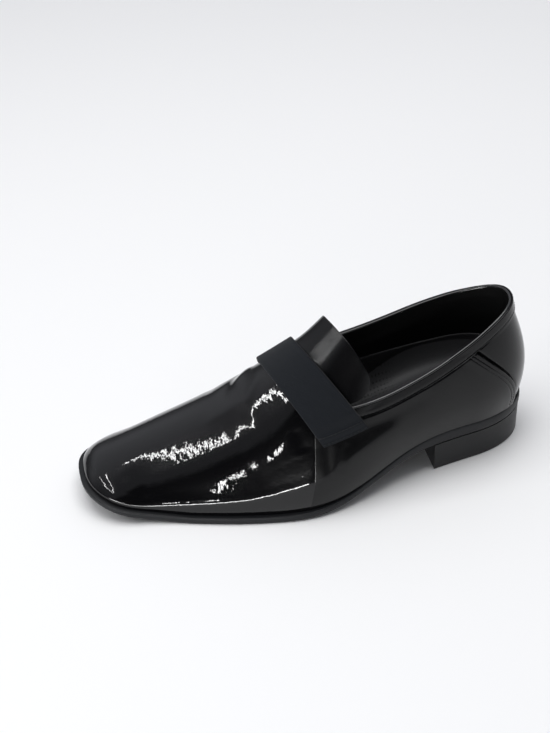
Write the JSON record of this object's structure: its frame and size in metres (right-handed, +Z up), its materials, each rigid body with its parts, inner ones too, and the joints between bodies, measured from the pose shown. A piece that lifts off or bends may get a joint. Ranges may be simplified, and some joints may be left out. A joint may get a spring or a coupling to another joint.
{
  "type": "tuxedo loafer",
  "caption": "Left tuxedo loafer with a glossy patent vamp and tongue, plain quarters with a counter panel, a matte ribbed strap over the instep, a thin sole and a low heel.",
  "frame": {"origin": "middle of the shoe's box on the ground under the sole", "axes": "+X toward the toe, +Y toward the outer (lateral) side of this left shoe, +Z up"},
  "size_m": [0.2968, 0.1098, 0.111],
  "materials": {
    "sole_edge": "satin black sole with a smooth edge",
    "heel_block": "satin black heel block",
    "upper_leather": "black leather, mirror-bright patent on the vamp and semi-gloss on the quarters and counter",
    "patent_leather": "mirror-bright black patent",
    "ribbed_cloth": "matte ribbed cloth, dark slate grey",
    "sock_leather": "dark grey sock leather with fine lines of pinholes"
  },
  "bodies": {
    "root": {"outsole": "sole_edge", "heel": "heel_block", "upper": "upper_leather", "tongue": "patent_leather", "strap": "ribbed_cloth", "insole": "sock_leather"}
  },
  "joints": []
}
